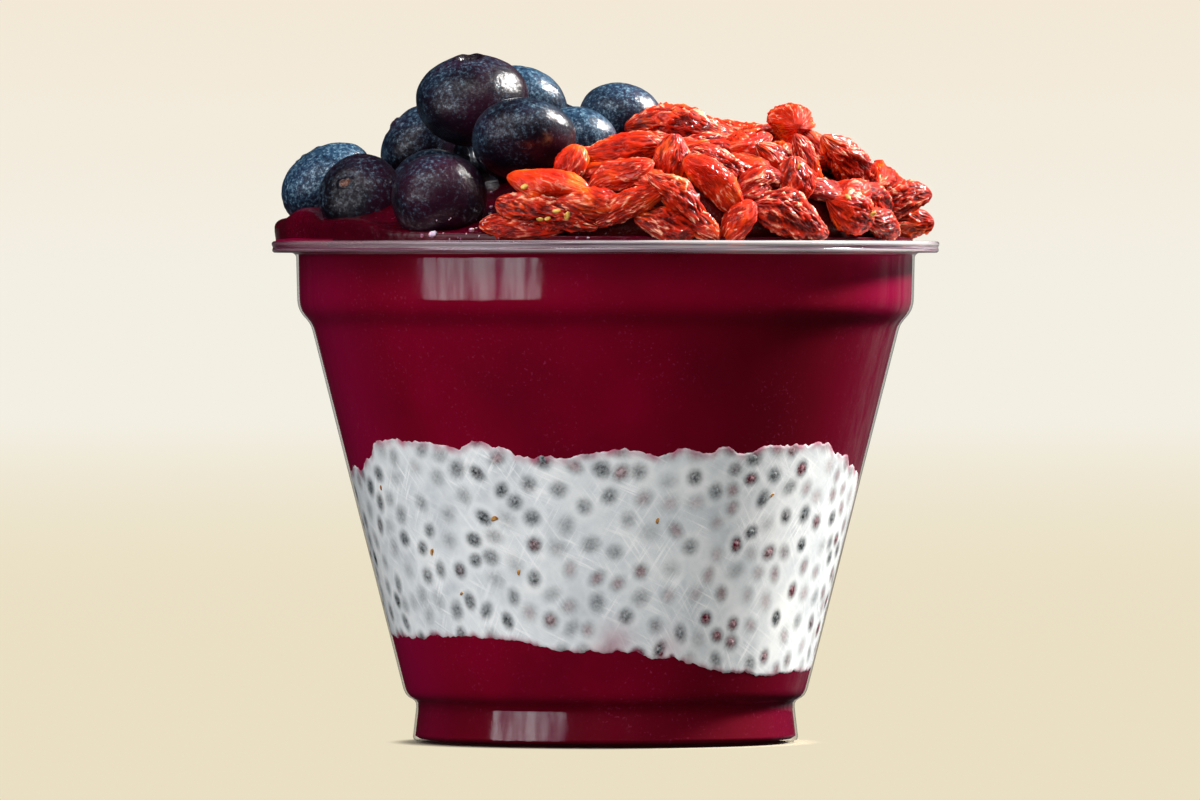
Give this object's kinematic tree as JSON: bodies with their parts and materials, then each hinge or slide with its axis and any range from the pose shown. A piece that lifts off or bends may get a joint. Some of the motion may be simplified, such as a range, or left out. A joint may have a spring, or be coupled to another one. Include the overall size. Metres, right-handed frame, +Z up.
{
  "type": "acai bowl",
  "caption": "Clear plastic cup of layered acai and chia seed pudding, topped with blueberries and dried goji berries.",
  "frame": {"origin": "middle of the foot's underside, where the cup rests", "axes": "+Z up through the cup's mouth, -Y towards the front, +X to the viewer's right"},
  "size_m": [0.098, 0.098, 0.1009],
  "materials": {
    "clear_pet": "clear thin PET, glossy",
    "acai": "smooth frozen fruit blend, softly glossy",
    "chia_pudding": "milky gel with dark seeds",
    "blueberry_skin": "dark skin with a pale waxy bloom",
    "dried_goji": "wrinkled, slightly oily dried fruit"
  },
  "bodies": {
    "root": {"cup": "clear_pet", "acai_base": "acai", "chia_pudding": "chia_pudding", "acai_top": "acai", "goji_berries": "dried_goji", "blueberry_01": "blueberry_skin", "blueberry_02": "blueberry_skin", "blueberry_03": "blueberry_skin", "blueberry_04": "blueberry_skin", "blueberry_05": "blueberry_skin", "blueberry_06": "blueberry_skin", "blueberry_07": "blueberry_skin", "blueberry_08": "blueberry_skin", "blueberry_09": "blueberry_skin", "blueberry_10": "blueberry_skin", "blueberry_11": "blueberry_skin", "blueberry_12": "blueberry_skin", "blueberry_13": "blueberry_skin", "blueberry_14": "blueberry_skin", "blueberry_15": "blueberry_skin", "blueberry_16": "blueberry_skin", "blueberry_17": "blueberry_skin", "blueberry_18": "blueberry_skin", "blueberry_19": "blueberry_skin", "blueberry_20": "blueberry_skin", "blueberry_21": "blueberry_skin", "blueberry_22": "blueberry_skin"}
  },
  "joints": []
}
